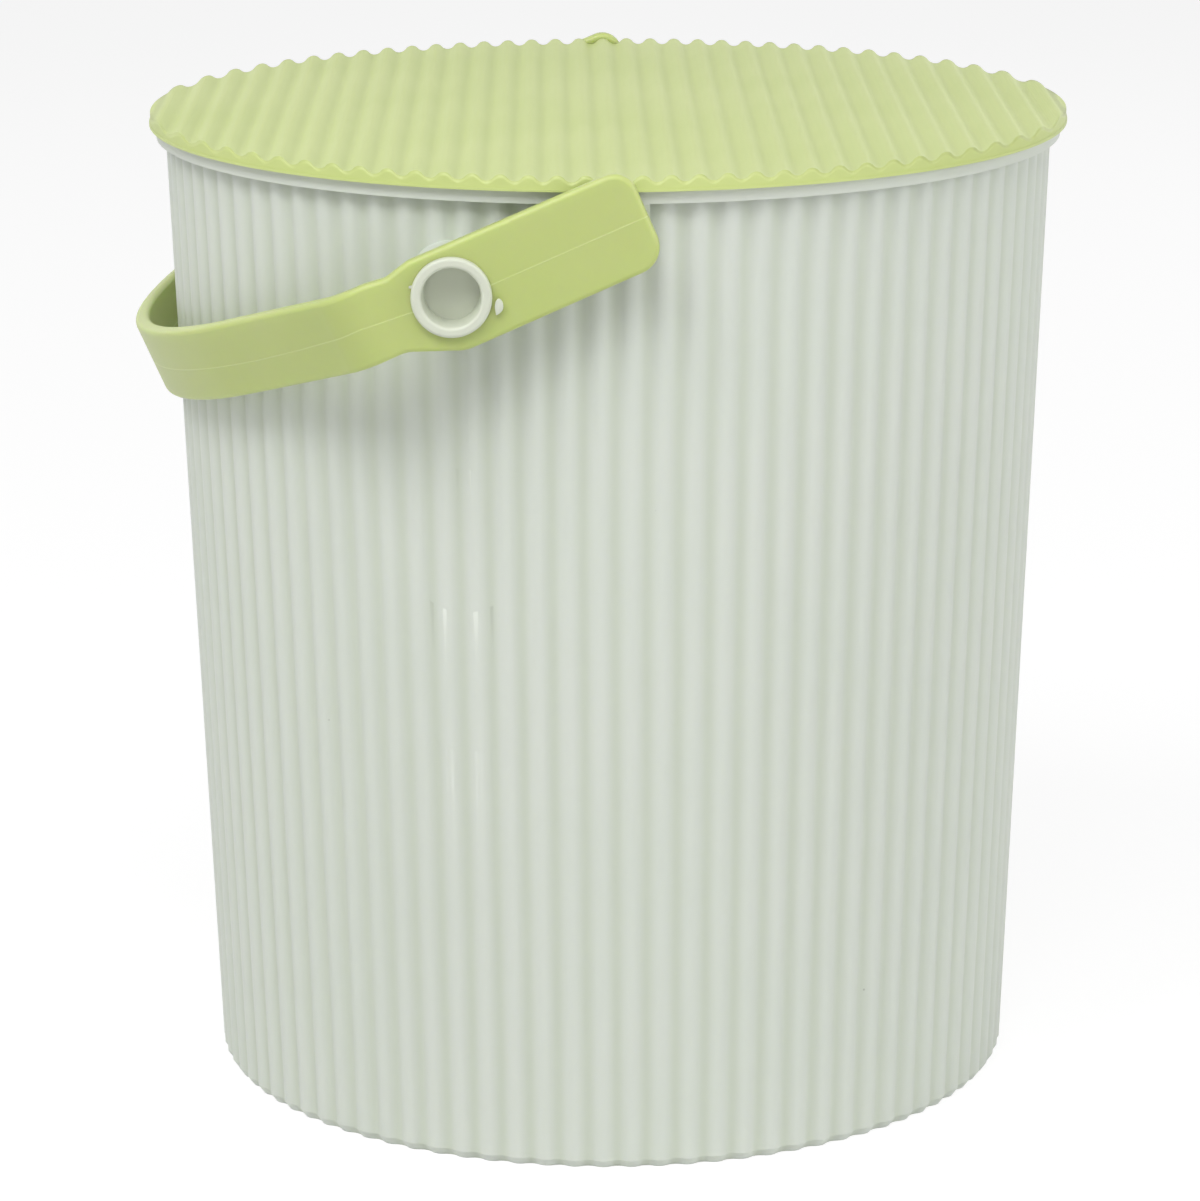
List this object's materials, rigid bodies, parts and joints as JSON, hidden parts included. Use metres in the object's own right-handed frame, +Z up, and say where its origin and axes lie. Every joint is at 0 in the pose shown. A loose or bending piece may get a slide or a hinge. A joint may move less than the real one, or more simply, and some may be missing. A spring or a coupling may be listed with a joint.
{
  "type": "plastic bucket",
  "caption": "Round tapered plastic bucket with wave ribs, a flat ribbed lift-off lid and a swinging strap handle.",
  "frame": {"origin": "centre of the foot, on the pail's axis, at the level it stands on", "axes": "+Z up along the pail's axis, the front pivot towards -Y, the handle hanging towards -X"},
  "size_m": [0.3469, 0.36, 0.366],
  "materials": {
    "pail": "satin, slightly translucent",
    "lid": "satin, slightly translucent",
    "handle": "satin, translucent",
    "plug": "satin, slightly translucent"
  },
  "bodies": {
    "pail": {"pail": "pail", "pivot_plug_front": "plug", "pivot_plug_back": "plug"},
    "lid": {"lid": "lid"},
    "handle": {"handle": "handle"}
  },
  "joints": [
    {"name": "handle_swing", "type": "hinge", "parent": "pail", "child": "handle", "pos_m": [-0.0553, 0, 0.3248], "axis": [0, 1, 0], "range_deg": [0, 110]},
    {"name": "lid_lift", "type": "slide", "parent": "pail", "child": "lid", "axis": [0, 0, 1], "range_m": [0, 0.15]}
  ]
}
